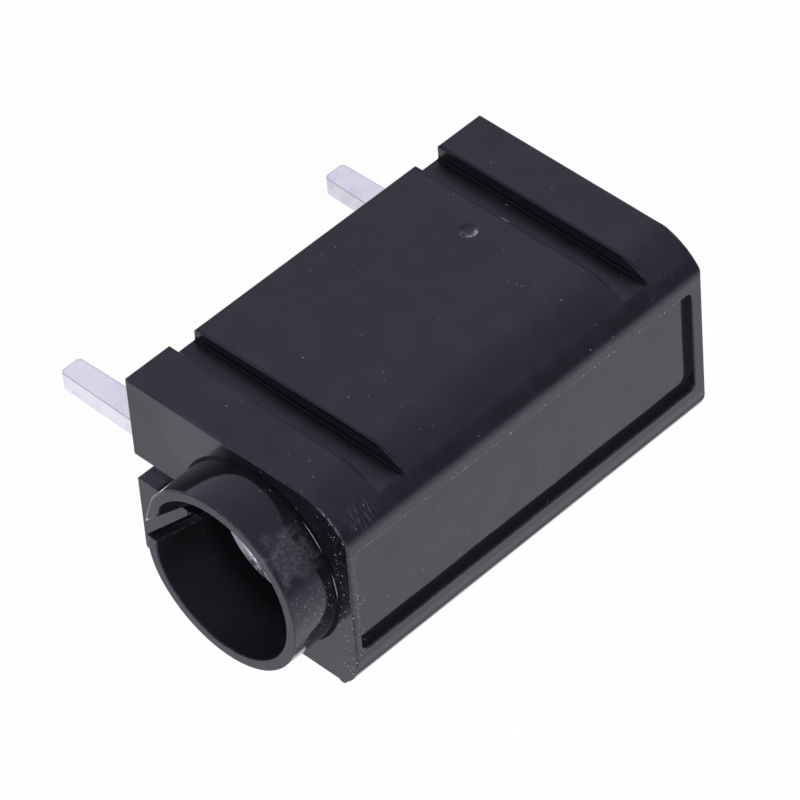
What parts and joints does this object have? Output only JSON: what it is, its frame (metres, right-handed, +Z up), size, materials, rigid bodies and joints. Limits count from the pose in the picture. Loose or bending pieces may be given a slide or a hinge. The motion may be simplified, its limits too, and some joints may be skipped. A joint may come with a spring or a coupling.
{
  "type": "banana socket",
  "caption": "Right-angle socket for a shrouded banana plug: a moulded housing with a round mouth, side grooves and a sunk top panel, and a rolled contact with legs for a circuit board.",
  "frame": {"origin": "centre of the front leg, in the plane of the circuit board", "axes": "+Z up from the board, +Y the way the plug goes in, +X away from the grooved side"},
  "size_m": [0.0106, 0.025, 0.0198],
  "materials": {
    "black_plastic": "glossy black moulding",
    "plated_brass": "bright tin plating on brass strip"
  },
  "bodies": {
    "root": {"housing": "black_plastic", "contact": "plated_brass"}
  },
  "joints": []
}
